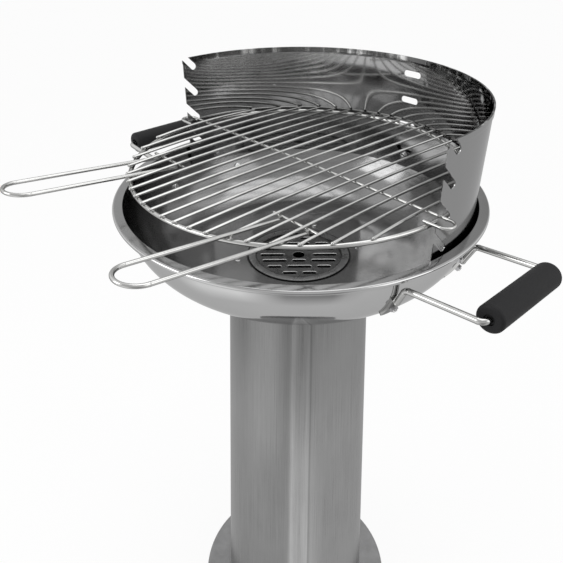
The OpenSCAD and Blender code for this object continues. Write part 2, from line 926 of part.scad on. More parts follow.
// Right grate handle: a long hairpin that rises away from the grate
module grate_handle() {
  for (x = [arm_x, arm_x + loop_w]) {
    knee = [x, loop_start, loop_z(loop_start)];
    bend = [x, loop_bend_y, loop_z(loop_bend_y)];
    rod(knee, bend, loop_d);
    rod(knee, [x, loop_start, stay_z + cross_d / 2], loop_d);
    for (p = [knee, bend])
      translate(p)
        sphere(d = loop_d + swell, $fn = 48);
  }
  translate([loop_x, loop_bend_y, loop_z(loop_bend_y)])
    rotate([-loop_rise, 0, 0])
      rotate([0, 0, 180])
        rotate_extrude(angle = 180)
          translate([loop_w / 2, 0])
            circle(d = loop_d);
  weld_low = ring_z + ring_d / 2 - weld;
  weld_high = loop_z(-chord(arm_x)) - loop_d / 2 + 0.5;
  translate([arm_x, -chord(arm_x), weld_low])
    cylinder(d = 3, h = weld_high - weld_low);
}

module grate_handle_right() {
  color(wire)
    grate_handle();
}

module grate_handle_left() {
  color(wire)
    mirror([1, 0, 0])
      grate_handle();
}

base_plate();
base_studs();
base_nuts();
column_foot_brackets();
column();
column_top_brackets();
ash_pan();
fire_bowl();
floor_screws();
floor_nuts();
ember_grate();
wind_shield();
shield_screws();
shield_nuts();
handle_rod_left();
handle_rod_right();
grip_left();
grip_right();
handle_screws();
handle_nuts();
grate_ring();
grate_bars();
grate_cross_wire();
grate_rear_hook();
grate_stays();
grate_handle_left();
grate_handle_right();
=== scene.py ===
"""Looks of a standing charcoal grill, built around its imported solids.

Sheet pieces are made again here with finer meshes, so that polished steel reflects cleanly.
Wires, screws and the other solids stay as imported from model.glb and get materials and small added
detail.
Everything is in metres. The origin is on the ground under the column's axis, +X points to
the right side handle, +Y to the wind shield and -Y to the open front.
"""
import math

import bmesh
import bpy
from mathutils import Matrix, Vector


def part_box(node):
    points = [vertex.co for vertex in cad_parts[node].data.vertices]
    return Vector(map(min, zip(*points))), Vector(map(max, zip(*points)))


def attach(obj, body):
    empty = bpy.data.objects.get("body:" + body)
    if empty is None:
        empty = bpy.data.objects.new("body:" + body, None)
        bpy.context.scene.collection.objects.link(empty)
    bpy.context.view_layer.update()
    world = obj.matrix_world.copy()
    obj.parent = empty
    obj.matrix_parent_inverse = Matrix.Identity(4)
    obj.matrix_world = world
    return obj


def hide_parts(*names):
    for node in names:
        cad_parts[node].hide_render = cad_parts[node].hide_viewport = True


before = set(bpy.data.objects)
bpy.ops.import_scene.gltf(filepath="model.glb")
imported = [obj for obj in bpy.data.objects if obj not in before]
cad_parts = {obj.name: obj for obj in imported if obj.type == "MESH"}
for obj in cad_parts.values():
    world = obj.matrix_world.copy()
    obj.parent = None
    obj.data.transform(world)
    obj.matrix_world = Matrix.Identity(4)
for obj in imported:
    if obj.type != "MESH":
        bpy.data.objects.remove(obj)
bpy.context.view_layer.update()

MM = 0.001
STAND = "stand"
GRATE = "cooking_grate"
EMBER = "ember_plate"


# Sizes of the sheet pieces, the same as in the part's source
FLANGE_Z = 840 * MM
FLANGE_R = 235 * MM
MOUTH_R = 222.6 * MM
DEPTH = 98 * MM
SHEET = 1 * MM
CURL_R = 3 * MM
FLOOR_HOLE_R = 61 * MM
FLOOR_Z = FLANGE_Z - DEPTH
FLOOR_EDGE_R = MOUTH_R - DEPTH

COLUMN_TOP_Z = FLOOR_Z - SHEET
COLUMN_FOOT_Z = 3 * MM
COLUMN_TOP_R = 94.5 * MM
COLUMN_FOOT_R = 131 * MM
SEAM_AZ = math.radians(-34)
SEAM_SPAN = math.radians(7)
OPENING_W = 96 * MM
OPENING_H = 62 * MM
OPENING_R = 14 * MM

SHIELD_R = 217.5 * MM
SHIELD_TOP = FLANGE_Z + 126 * MM
SHIELD_SEAT = 0.05 * MM
SHIELD_FOOT = FLANGE_Z + SHIELD_SEAT - math.sqrt(DEPTH ** 2 - (SHIELD_R - FLOOR_EDGE_R) ** 2)
SHIELD_FRONT = 17 * MM
HEM_H = 7 * MM
HEM_BOTTOM = SHIELD_TOP - HEM_H
NOTCHES = 4
NOTCH_W = 9 * MM
NOTCH_TOP = 113 * MM
NOTCH_PITCH = 36 * MM
NOTCH_SLANT = math.radians(135)
REAR_SLOTS = 4
REAR_SLOT_W = 28 * MM
REAR_SLOT_H = 8.5 * MM
REAR_SLOT_Z = FLANGE_Z - 4.05 * MM

EMBER_R = 69.7 * MM
EMBER_T = 1.2 * MM
EMBER_GAP = 0.6 * MM
STEP_R = FLOOR_HOLE_R - EMBER_GAP
EMBER_SEAT = 0.05 * MM
EMBER_SEAT_Z = FLOOR_Z + EMBER_SEAT
PANEL_Z = EMBER_SEAT_Z - EMBER_T
BORDER_Z = EMBER_SEAT_Z + EMBER_T
EMBER_HOLE_R = 7.8 * MM
EMBER_TURN = math.radians(47.7)
ROW_PITCH = 15.3 * MM
SLOT_W = 5.6 * MM
SLOT_RIM = 1 * MM
SLOT_DROP = 2.4 * MM
LONG_SLOT = 32.4 * MM
SHORT_SLOT = 18 * MM
# (place, length) of the slots in the middle row and in the rows 1, 2 and 3 away from it
SLOT_ROWS = [
    [(-36 * MM, LONG_SLOT), (36 * MM, LONG_SLOT)],
    [(-33 * MM, LONG_SLOT), (0, SHORT_SLOT), (33 * MM, LONG_SLOT)],
    [(-33 * MM, SHORT_SLOT), (0, LONG_SLOT), (33 * MM, SHORT_SLOT)],
    [(-12.7 * MM, SHORT_SLOT), (12.7 * MM, SHORT_SLOT)],
]

GRATE_BARS = 20
BAR_PITCH = 20.16 * MM


# Small helpers for meshes

UPRIGHT = Matrix.Rotation(math.radians(90), 4, "X")
ACROSS = Matrix.Rotation(math.radians(90), 4, "Z") @ UPRIGHT
SLOT_END_STEPS = 14
CORNER_STEPS = 8


def link_object(name, bm):
    """Makes an object of a bmesh and links it to the scene."""
    mesh = bpy.data.meshes.new(name)
    bm.to_mesh(mesh)
    bm.free()
    obj = bpy.data.objects.new(name, mesh)
    bpy.context.scene.collection.objects.link(obj)
    return obj


def piece(name, bm, body, material, smooth_angle):
    """Makes an object of a bmesh, shades it smooth up to an angle and lets it ride on a body."""
    bmesh.ops.recalc_face_normals(bm, faces=bm.faces)
    obj = link_object(name, bm)
    for face in obj.data.polygons:
        face.use_smooth = True
    obj.data.set_sharp_from_angle(angle=math.radians(smooth_angle))
    obj.data.materials.append(material)
    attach(obj, body)
    return obj


def arc(cx, cz, r, start, end, steps):
    """Points of an arc in a profile, angles in degrees."""
    angles = [math.radians(start + (end - start) * i / steps) for i in range(steps + 1)]
    return [(cx + r * math.cos(a), cz + r * math.sin(a)) for a in angles]


def bridge(bm, here, after):
    """Faces between two closed loops with the same number of vertices."""
    for k in range(len(here)):
        j = (k + 1) % len(here)
        bm.faces.new((here[k], after[k], after[j], here[j]))


def bridge_all(bm, loops, closed):
    """Faces between each loop and the next, and from the last to the first where closed."""
    for here, after in zip(loops, loops[1:] + loops[:1] if closed else loops[1:]):
        bridge(bm, here, after)


def turned(bm, profile, a):
    """Vertices of a profile of (radius, height) points at one angle round the Z axis."""
    return [bm.verts.new((r * math.cos(a), r * math.sin(a), z)) for r, z in profile]


def lathe(bm, profile, steps):
    """Turns a closed profile of (radius, height) points round the Z axis."""
    bridge_all(bm, [turned(bm, profile, 2 * math.pi * i / steps) for i in range(steps)], True)


def stadium(length, width, steps):
    """Outline of a slot with round ends along X."""
    half = (length - width) / 2
    return arc(half, 0, width / 2, -90, 90, steps) + arc(-half, 0, width / 2, 90, 270, steps)


def notch_outline(width, reach):
    """Outline of a notch: round at the inner end, open towards +X."""
    inner_end = arc(0, 0, width / 2, 90, 270, SLOT_END_STEPS)
    return inner_end + [(reach, -width / 2), (reach, width / 2)]


def arch_outline(width, height, r):
    """Outline of an opening that stands on the ground and has round upper corners."""
    low = -10 * MM
    right = arc(width / 2 - r, height - r, r, 0, 90, CORNER_STEPS)
    left = arc(-width / 2 + r, height - r, r, 90, 180, CORNER_STEPS)
    return [(width / 2, low)] + right + left + [(-width / 2, low)]


def prism(name, outline, depth):
    """A cutter of one outline, as deep on both sides of its plane."""
    bm = bmesh.new()
    low, high = [[bm.verts.new((x, y, z)) for x, y in outline] for z in (-depth / 2, depth / 2)]
    bm.faces.new(low[::-1])
    bm.faces.new(high)
    bridge(bm, high, low)
    bmesh.ops.recalc_face_normals(bm, faces=bm.faces)
    return link_object(name, bm)


def cut(obj, cutters):
    """Takes the cutters away from a piece and removes them."""
    for cutter in cutters:
        change = obj.modifiers.new("cut", "BOOLEAN")
        change.operation = "DIFFERENCE"
        change.solver = "EXACT"
        change.object = cutter
    bpy.context.view_layer.update()
    graph = bpy.context.evaluated_depsgraph_get()
    result = bpy.data.meshes.new_from_object(obj.evaluated_get(graph))
    obj.modifiers.clear()
    obj.data = result
    for cutter in cutters:
        bpy.data.objects.remove(cutter)


def round_normals(obj, near):
    """Gives the faces that look outwards or inwards the true normals of a round sheet.

    A face counts as such where its normal's share along the radius is above near.
    """
    mesh = obj.data
    normals = []
    for face in mesh.polygons:
        face.use_smooth = True
        flat = face.normal.copy()
        radial = Vector((face.center.x, face.center.y, 0)).normalized()
        side = flat.dot(radial)
        for k in face.vertices:
            if abs(side) > near:
                co = mesh.vertices[k].co
                out = Vector((co.x, co.y, 0)).normalized()
                out.z = flat.z / side
                normals.append((out if side > 0 else -out).normalized())
            else:
                normals.append(flat)
    mesh.normals_split_custom_set(normals)


# Materials

# Tint of metals at grazing angles, where the dim room around them shows
STEEL_EDGE = (0.8, 0.8, 0.8, 1)
WIRE_EDGE = (0.4, 0.4, 0.4, 1)

# Most values of a noise texture lie between these two
NOISE_LOW, NOISE_HIGH = 0.3, 0.7

# Cosine up to which a face counts as partly outside and partly inside
SIDE_BLEND = 0.1


class Nodes:
    """Short calls for building the node tree of a new material or world."""

    def __init__(self, owner, shader="Principled BSDF", out="Material Output"):
        self.owner = owner
        owner.use_nodes = True
        self.tree = owner.node_tree
        self.shader = self.tree.nodes[shader]
        self.out = self.tree.nodes[out]

    def add(self, kind, **settings):
        """Adds a node. Settings with a leading _ are its inputs, the others its properties."""
        node = self.tree.nodes.new(kind)
        for key, value in settings.items():
            if key.startswith("_"):
                node.inputs[key[1:].replace("_", " ")].default_value = value
            else:
                setattr(node, key, value)
        return node

    def link(self, start, end):
        self.tree.links.new(start, end)

    def feed(self, socket, value):
        """Gives a socket a fixed value, or links it to another node's output."""
        if isinstance(value, bpy.types.NodeSocket):
            self.link(value, socket)
        else:
            socket.default_value = value

    def set(self, **values):
        """Fixed values for inputs of the main shader."""
        for key, value in values.items():
            self.shader.inputs[key.replace("_", " ")].default_value = value

    def to(self, socket, value):
        """Links a value to an input of the main shader."""
        self.link(value, self.shader.inputs[socket])

    def calculate(self, operation, a, b):
        node = self.add("ShaderNodeMath", operation=operation)
        self.feed(node.inputs[0], a)
        self.feed(node.inputs[1], b)
        return node.outputs[0]

    def times(self, a, b):
        return self.calculate("MULTIPLY", a, b)

    def vector(self, operation, *values):
        """Outputs of a vector calculation."""
        node = self.add("ShaderNodeVectorMath", operation=operation)
        for socket, value in zip(node.inputs, values):
            self.feed(socket, value)
        return node.outputs

    def mix(self, share, a, b):
        """Value a where the share is 0, b where it is 1 and a blend in between."""
        node = self.add("ShaderNodeMix", data_type="FLOAT")
        self.feed(node.inputs["Factor"], share)
        self.feed(node.inputs[2], a)
        self.feed(node.inputs[3], b)
        return node.outputs[0]

    def coordinates(self, kind="Object"):
        return self.add("ShaderNodeTexCoord").outputs[kind]

    def position(self, scale=(1, 1, 1)):
        """Object coordinates stretched by a scale along X, Y and Z."""
        mapping = self.add("ShaderNodeMapping", _Scale=scale)
        self.link(self.coordinates(), mapping.inputs["Vector"])
        return mapping.outputs["Vector"]

    def split_place(self):
        """Object coordinates as the outputs X, Y and Z."""
        split = self.add("ShaderNodeSeparateXYZ")
        self.link(self.coordinates(), split.inputs[0])
        return split.outputs

    def from_axis(self):
        """Level vector from the object's axis to the place."""
        return self.vector("MULTIPLY", self.coordinates(), (1, 1, 0))["Vector"]

    def radius(self):
        """Distance from the object's axis."""
        return self.vector("LENGTH", self.from_axis())["Value"]

    def turn_angle(self):
        """Angle round the object's axis, from -pi to pi."""
        place = self.split_place()
        return self.calculate("ARCTAN2", place["Y"], place["X"])

    def round_position(self, around, along):
        """Coordinates that follow the object's turning axis: scaled angle and scaled height."""
        join = self.add("ShaderNodeCombineXYZ")
        self.link(self.times(self.turn_angle(), around), join.inputs["X"])
        self.link(self.times(self.split_place()["Z"], along), join.inputs["Y"])
        return join.outputs[0]

    def outside(self):
        """1 on faces that look away from the axis or down, 0 on those that look in or up."""
        radial = self.vector("NORMALIZE", self.from_axis())["Vector"]
        outward = self.vector("ADD", radial, (0, 0, -1))["Vector"]
        side = self.vector("DOT_PRODUCT", outward, self.coordinates("Normal"))["Value"]
        return self.rise(side, -SIDE_BLEND, SIDE_BLEND)

    def noise(self, vector, scale, detail=3, roughness=0.5):
        node = self.add("ShaderNodeTexNoise", _Scale=scale, _Detail=detail, _Roughness=roughness)
        self.link(vector, node.inputs["Vector"])
        return node.outputs["Fac"]

    def remap(self, value, low, high, from_low=NOISE_LOW, from_high=NOISE_HIGH):
        """Maps from_low to low and from_high to high, and stays between the two."""
        node = self.add("ShaderNodeMapRange", _From_Min=from_low, _From_Max=from_high,
                        _To_Min=low, _To_Max=high)
        self.link(value, node.inputs["Value"])
        return node.outputs["Result"]

    def rise(self, value, start, end):
        """0 up to the start, 1 from the end on and even in between."""
        return self.remap(value, 0, 1, start, end)

    def ramp(self, value, dark, light):
        """A colour between two, by the value of a noise."""
        node = self.add("ShaderNodeValToRGB")
        ends = zip(node.color_ramp.elements, (NOISE_LOW, NOISE_HIGH), (dark, light))
        for mark, place, colour in ends:
            mark.position = place
            mark.color = (*colour, 1)
        self.link(value, node.inputs["Fac"])
        return node.outputs["Color"]

    def grey(self, value):
        """A grey of this brightness."""
        node = self.add("ShaderNodeCombineColor")
        for name in ("Red", "Green", "Blue"):
            self.link(value, node.inputs[name])
        return node.outputs[0]

    def graded(self, value, stops):
        """A factor that follows (value, factor) stops in rising order, each factor up to 2."""
        low, high = stops[0][0], stops[-1][0]
        ramp = self.add("ShaderNodeValToRGB")
        marks = ramp.color_ramp.elements
        for place, factor in stops:
            if place == low:
                mark = marks[0]
            elif place == high:
                mark = marks[len(marks) - 1]
            else:
                mark = marks.new((place - low) / (high - low))
            mark.color = (factor / 2, factor / 2, factor / 2, 1)
        self.link(self.rise(value, low, high), ramp.inputs["Fac"])
        return self.times(ramp.outputs["Color"], 2)

    def bump(self, height, strength, distance, after=None):
        """A normal that follows a height, on top of the normal after."""
        node = self.add("ShaderNodeBump", _Strength=strength, _Distance=distance)
        self.link(height, node.inputs["Height"])
        if after is not None:
            self.link(after, node.inputs["Normal"])
        return node.outputs["Normal"]

    def blend_out(self, share, other):
        """Sends the main shader, covered by this share of another one, to the output."""
        blend = self.add("ShaderNodeMixShader")
        self.link(share, blend.inputs["Fac"])
        self.link(self.shader.outputs[0], blend.inputs[1])
        self.link(other.outputs[0], blend.inputs[2])
        self.link(blend.outputs[0], self.out.inputs["Surface"])


def metal(name, edge=STEEL_EDGE):
    """Nodes of a new metal."""
    m = Nodes(bpy.data.materials.new(name))
    m.set(Metallic=1.0, Specular_Tint=edge)
    return m


# How far the painted reflection on a folded edge fades in, and how far its mark in the sheet
# reaches
FOLD_FADE = 0.5 * MM
CREASE_REACH = 1.5 * MM

# Painted reflection on a folded edge: factors of the dark room and of its bright windows, and the
# noise values at which a window starts and is full
WINDOW_TONES = (0.45, 2.3)
WINDOW_LIMITS = (0.5, 0.62)


def polished(name, inside, outside, wave, crease=None, shades=None):
    """Polished stainless sheet: faint rolling waves, fine wiping marks and dull patches.

    Each side has its own brightness, lowest roughness and highest roughness. A crease is
    the height of the mark that a folded edge leaves on the other side of the sheet; above it,
    the inner side gets a painted reflection of a dark room with bright windows. Shades are
    (radius, factor) stops of painted light and shade for the side that looks in or up.
    """
    m = metal(name)
    side = m.outside()
    height = m.split_place()["Z"]
    patches = m.noise(m.position(), scale=9)
    tone = m.mix(side, inside[0], outside[0])
    if crease is not None:
        # painted reflection: the folded edge is bent a little, so it is painted with the dark room
        # and few bright windows that it would mirror
        folded = m.rise(height, crease - FOLD_FADE, crease + FOLD_FADE)
        dim_room = m.noise(m.round_position(around=4, along=0), scale=1.7, detail=4, roughness=0.65)
        windows = m.remap(dim_room, *WINDOW_TONES, *WINDOW_LIMITS)
        folded_inside = m.times(folded, m.calculate("SUBTRACT", 1.0, side))
        tone = m.times(tone, m.mix(folded_inside, 1.0, windows))
    if shades is not None:
        # painted shadow beside the ember grate and painted light on the flange, by radius
        tone = m.times(tone, m.mix(side, m.graded(m.radius(), shades), 1.0))
    m.to("Base Color", m.grey(m.times(tone, m.remap(patches, low=0.93, high=1.0))))
    wiped = m.noise(m.position((14, 90, 40)), scale=4, detail=4, roughness=0.6)
    dull = m.mix(0.5, patches, wiped)
    m.to("Roughness", m.mix(side, m.remap(dull, *inside[1:]), m.remap(dull, *outside[1:])))
    waves = m.noise(m.position(), scale=7, detail=1.5, roughness=0.4)
    normal = m.bump(waves, strength=wave, distance=6 * MM)
    if crease is not None:
        band = m.rise(height, crease - CREASE_REACH, crease + CREASE_REACH)
        normal = m.bump(band, strength=0.5, distance=0.6 * MM, after=normal)
    m.to("Normal", normal)
    return m.owner


# Brightness round the column: (angle in degrees, factor). From -50 to -20 lie a painted
# highlight beside and on the lap seam, the seam's own dark line and a painted sheen after it
SEAM_SHADES = [(-180, 1.0), (-112, 1.0), (-92, 0.86), (-67, 0.87), (-53, 0.88), (-50, 1.0),
               (-47.5, 1.7), (-45, 1.45), (-41, 1.35), (-37, 1.5), (-34.6, 1.6), (-33.9, 1.5),
               (-33.6, 0.4), (-33, 0.55), (-32.4, 1.3), (-27, 1.12), (-20, 1.0), (180, 1.0)]

# Painted shade: the column darkens towards the bowl by this factor, over this length
COLUMN_SHADE = 0.68
COLUMN_SHADE_LENGTH = 260 * MM

# Factors of its dark and bright streaks, and the noise values that they start from
STREAK_TONES = (0.74, 1.12)
STREAK_LIMITS = (0.36, 0.64)


def column_steel(name, tone):
    """Rolled sheet with streaks that run up and down, dull clouds, the seam's dark line
    with a painted highlight and sheen beside it, and painted shade towards the bowl.
    """
    m = metal(name)
    streaks = m.noise(m.round_position(around=26, along=1.2), scale=4, detail=5, roughness=0.6)
    fine = m.noise(m.round_position(around=150, along=6), scale=4, detail=4, roughness=0.6)
    clouds = m.noise(m.position((1, 1, 0.3)), scale=13, detail=4, roughness=0.6)
    grain = m.mix(0.25, m.mix(0.4, streaks, clouds), fine)
    # painted highlight and sheen beside the lap seam, with the seam's own dark line
    seam = m.graded(m.turn_angle(), [(math.radians(angle), shade) for angle, shade in SEAM_SHADES])
    # painted shade under the bowl, darker towards the column's top
    top = m.remap(m.split_place()["Z"], 1.0, COLUMN_SHADE,
                  COLUMN_TOP_Z - COLUMN_SHADE_LENGTH, COLUMN_TOP_Z)
    light = m.remap(grain, *[tone * factor for factor in STREAK_TONES], *STREAK_LIMITS)
    m.to("Base Color", m.grey(m.times(m.times(seam, top), light)))
    m.to("Roughness", m.remap(grain, low=0.22, high=0.4))
    dents = m.noise(m.position((1, 1, 0.5)), scale=9, detail=2, roughness=0.4)
    slow = m.bump(dents, strength=0.3, distance=3 * MM)
    m.to("Normal", m.bump(streaks, strength=0.12, distance=0.4 * MM, after=slow))
    return m.owner


# How much finer the grain of plain steel is than its clouds
GRAIN_FINENESS = 22


def matt(name, tone, rough, scale):
    """Plain steel: a little uneven in colour and gloss, with clouds of this scale."""
    m = metal(name)
    cloud = m.noise(m.position(), scale, detail=5, roughness=0.6)
    grain = m.noise(m.position(), scale * GRAIN_FINENESS, detail=3, roughness=0.6)
    m.to("Base Color", m.ramp(cloud, [t * 0.75 for t in tone], tone))
    m.to("Roughness", m.remap(m.mix(0.5, cloud, grain), *rough))
    m.to("Normal", m.bump(grain, strength=0.15, distance=0.2 * MM))
    return m.owner


# Painted shadow and a brighter border on the ember grate, (radius, factor): painted shadow in
# the corner of its step and, on the brighter border, only at the very edge
EMBER_SHADES = [(0, 1), (STEP_R - 3.2 * MM, 1), (STEP_R - 2.4 * MM, 0.55),
                (STEP_R - 1.2 * MM, 0.7), (STEP_R - 0.4 * MM, 1.7), (STEP_R + 2 * MM, 1.5),
                (EMBER_R - 1.3 * MM, 1.5), (EMBER_R - 0.9 * MM, 0.12), (EMBER_R + 1 * MM, 0.1)]


def ember_steel(name, tone):
    """Pressed steel disc with painted shadow along its edge and in the corner of its step, and a
    brighter border.
    """
    m = metal(name)
    cloud = m.noise(m.position(), scale=60, detail=5, roughness=0.6)
    grain = m.noise(m.position(), scale=1300, detail=3, roughness=0.6)
    # painted shadow at the edge and in the step's corner, and a brighter border
    painted_shadow_and_border = m.graded(m.radius(), EMBER_SHADES)
    light = m.remap(cloud, low=tone * 0.85, high=tone * 1.1)
    m.to("Base Color", m.grey(m.times(light, painted_shadow_and_border)))
    m.to("Roughness", m.remap(cloud, low=0.22, high=0.34))
    m.to("Normal", m.bump(grain, strength=0.1, distance=0.2 * MM))
    return m.owner


def wire(name, tone, rough):
    """Chromed or bright-drawn wire with faint drawing marks."""
    m = metal(name, WIRE_EDGE)
    cloud = m.noise(m.position(), scale=60)
    grain = m.noise(m.position(), scale=500, detail=2)
    m.to("Base Color", m.ramp(cloud, [t * 0.86 for t in tone], tone))
    m.to("Roughness", m.remap(cloud, *rough))
    m.to("Normal", m.bump(grain, strength=0.03, distance=0.2 * MM))
    return m.owner


def plastic(name, tone):
    """Black moulded grip: fine grain, slightly uneven sheen and small pale rubs."""
    m = Nodes(bpy.data.materials.new(name))
    m.set(Metallic=0.0, Specular_IOR_Level=0.25)
    grain = m.noise(m.position(), scale=2600, detail=2)
    cloud = m.noise(m.position(), scale=60, detail=4, roughness=0.6)
    m.to("Base Color", m.ramp(cloud, [t * 0.8 for t in tone], [t * 1.2 for t in tone]))
    m.to("Roughness", m.remap(m.mix(0.5, cloud, grain), low=0.5, high=0.7))
    m.to("Normal", m.bump(grain, strength=0.3, distance=0.15 * MM))
    return m.owner


# Inside of the bowl, (radius, factor): painted shadow in the gap beside the ember grate's edge, and
# a flange made lighter as painted light
BOWL_SHADES = [(0, 1), (EMBER_R - 0.5 * MM, 1), (EMBER_R, 0.15), (EMBER_R + 1.2 * MM, 0.3),
               (EMBER_R + 2.4 * MM, 1), (MOUTH_R - 1 * MM, 1), (MOUTH_R + 1 * MM, 1.25),
               (FLANGE_R + 5 * MM, 1.25)]

MIRROR = polished("polished_bowl", inside=(0.33, 0.1, 0.2), outside=(0.62, 0.03, 0.08),
                  wave=0.12, shades=BOWL_SHADES)
SHIELD_STEEL = polished("polished_shield", inside=(0.42, 0.04, 0.08), outside=(0.38, 0.1, 0.18),
                        wave=0.14, crease=HEM_BOTTOM)
COLUMN_STEEL = column_steel("rolled_column", tone=0.45)
MATT = matt("matt_steel", tone=(0.3, 0.3, 0.302), rough=(0.34, 0.5), scale=40)
BRIGHT = wire("bright_wire", tone=(0.64, 0.64, 0.63), rough=(0.08, 0.16))
ZINC = matt("zinc", tone=(0.55, 0.55, 0.56), rough=(0.12, 0.2), scale=160)
BOLT = matt("bright_zinc", tone=(0.85, 0.85, 0.85), rough=(0.06, 0.13), scale=160)
GRIP = plastic("grip_plastic", tone=(0.012, 0.012, 0.013))
EMBER_STEEL = ember_steel("ember_steel", tone=0.2)
# painted highlight: the slot rims are the ember disc's steel, made brighter
RIM_HIGHLIGHT_STEEL = matt("rim_highlight_steel", tone=(0.5, 0.5, 0.5), rough=(0.2, 0.3), scale=90)
WELD = wire("weld", tone=(0.5, 0.5, 0.5), rough=(0.2, 0.35))

NODE_MATERIALS = {
    "base_plate": MATT,
    "base_studs": ZINC,
    "base_nuts": ZINC,
    "column_foot_brackets": ZINC,
    "column_top_brackets": ZINC,
    "ash_pan": MIRROR,
    "floor_screws": BOLT,
    "floor_nuts": ZINC,
    "shield_screws": BOLT,
    "shield_nuts": ZINC,
    "handle_rod_left": BRIGHT,
    "handle_rod_right": BRIGHT,
    "grip_left": GRIP,
    "grip_right": GRIP,
    "handle_screws": BOLT,
    "handle_nuts": ZINC,
    "grate_ring": BRIGHT,
    "grate_bars": BRIGHT,
    "grate_cross_wire": BRIGHT,
    "grate_rear_hook": BRIGHT,
    "grate_stays": BRIGHT,
    "grate_handle_left": BRIGHT,
    "grate_handle_right": BRIGHT,
    "column": COLUMN_STEEL,
    "fire_bowl": MIRROR,
    "wind_shield": SHIELD_STEEL,
    "ember_grate": MATT,
}
for node_name, material in NODE_MATERIALS.items():
    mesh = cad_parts[node_name].data
    mesh.materials.clear()
    mesh.materials.append(material)


# Fire bowl: one closed sheet profile turned round the axis

BOWL_STEPS = 288
WALL_STEPS = 40
CURL_STEPS = 14
# Where the wall's outer side meets the flange's underside, in degrees below the flange
WALL_TOP = -0.585

curl = (FLANGE_R - CURL_R, FLANGE_Z - CURL_R)
bowl_profile = [(FLOOR_HOLE_R, FLOOR_Z - SHEET), (FLOOR_HOLE_R, FLOOR_Z)]
bowl_profile += arc(FLOOR_EDGE_R, FLANGE_Z, DEPTH, -90, 0, WALL_STEPS)
bowl_profile += arc(*curl, CURL_R, 90, -90, CURL_STEPS)
bowl_profile += arc(*curl, CURL_R - SHEET, -90, 90, CURL_STEPS)
bowl_profile += arc(FLOOR_EDGE_R, FLANGE_Z, DEPTH + SHEET, WALL_TOP, -90, WALL_STEPS)
bm = bmesh.new()
lathe(bm, bowl_profile, BOWL_STEPS)
bowl = piece("fire_bowl_sheet", bm, STAND, MIRROR, smooth_angle=35)
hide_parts("fire_bowl")


# Column: a cone of sheet with one lap seam, cut open at the back of its foot

COLUMN_STEPS = 216
COLUMN_RINGS = 30
LAP_STEPS = 6
MERGE_DISTANCE = 1e-6


def column_outline():
    """Angles round the column with the height of the outer face above the inner sheet."""
    free = 2 * math.pi - SEAM_SPAN
    single = [(SEAM_AZ + free * i / COLUMN_STEPS, 0.0) for i in range(COLUMN_STEPS + 1)]
    lap = [(SEAM_AZ + free + SEAM_SPAN * i / LAP_STEPS, SHEET) for i in range(LAP_STEPS + 1)]
    return single + lap


bm = bmesh.new()
outline = column_outline()
outer, inner = [], []
for i in range(COLUMN_RINGS + 1):
    share = i / COLUMN_RINGS
    z = COLUMN_FOOT_Z + (COLUMN_TOP_Z - COLUMN_FOOT_Z) * share
    r = COLUMN_FOOT_R + (COLUMN_TOP_R - COLUMN_FOOT_R) * share
    outer.append([turned(bm, [(r + rise, z)], a)[0] for a, rise in outline])
    inner.append([turned(bm, [(r - SHEET, z)], a)[0] for a, rise in outline])
bridge_all(bm, outer, False)
bridge_all(bm, inner, False)
bridge(bm, inner[0], outer[0])
bridge(bm, inner[-1], outer[-1])
bmesh.ops.remove_doubles(bm, verts=bm.verts, dist=MERGE_DISTANCE)
column = piece("column_sheet", bm, STAND, COLUMN_STEEL, smooth_angle=50)
opening = prism("opening_cutter", arch_outline(OPENING_W, OPENING_H, OPENING_R), COLUMN_FOOT_R)
opening.matrix_world = Matrix.Translation((0, COLUMN_FOOT_R, COLUMN_FOOT_Z)) @ UPRIGHT
cut(column, [opening])
round_normals(column, near=0.96)
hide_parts("column")


# Wind shield: half a ring of sheet with a square hem, notches in its ends and slots behind

SHIELD_STEPS = 190
SHIELD_RINGS = 24
SHIELD_END = math.asin(SHIELD_FRONT / SHIELD_R)
NOTCH_CUT_DEPTH = 40 * MM
SLOT_CUT_DEPTH = 20 * MM

bm = bmesh.new()
wall_h = HEM_BOTTOM - SHIELD_FOOT
wall = [SHIELD_FOOT + wall_h * i / SHIELD_RINGS for i in range(SHIELD_RINGS + 1)]
profile = [(SHIELD_R, z) for z in wall]
profile += [(SHIELD_R + SHEET, HEM_BOTTOM), (SHIELD_R + SHEET, SHIELD_TOP)]
profile += [(SHIELD_R - SHEET, SHIELD_TOP)] + [(SHIELD_R - SHEET, z) for z in reversed(wall)]
span = math.pi + 2 * SHIELD_END
sections = [turned(bm, profile, -SHIELD_END + span * i / SHIELD_STEPS)
            for i in range(SHIELD_STEPS + 1)]
bridge_all(bm, sections, False)
bm.faces.new(sections[0])
bm.faces.new(sections[-1][::-1])
shield = piece("wind_shield_sheet", bm, STAND, SHIELD_STEEL, smooth_angle=35)
cutters = []
for side in (-1, 1):
    for k in range(NOTCHES):
        notch = prism("notch_cutter", notch_outline(NOTCH_W, 4 * SHIELD_FRONT), NOTCH_CUT_DEPTH)
        place = Matrix.Translation((side * SHIELD_R, 0, FLANGE_Z + NOTCH_TOP - k * NOTCH_PITCH))
        notch.matrix_world = place @ ACROSS @ Matrix.Rotation(NOTCH_SLANT, 4, "Z")
        cutters.append(notch)
for k in range(REAR_SLOTS):
    outline = stadium(REAR_SLOT_W, REAR_SLOT_H, SLOT_END_STEPS)
    rear_slot = prism("slot_cutter", outline, SLOT_CUT_DEPTH)
    place = Matrix.Translation((0, SHIELD_R, REAR_SLOT_Z + k * NOTCH_PITCH))
    rear_slot.matrix_world = place @ UPRIGHT
    cutters.append(rear_slot)
cut(shield, cutters)
round_normals(shield, near=0.97)
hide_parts("wind_shield")


# Ember grate: pressed disc, with a turned-down rim round each slot

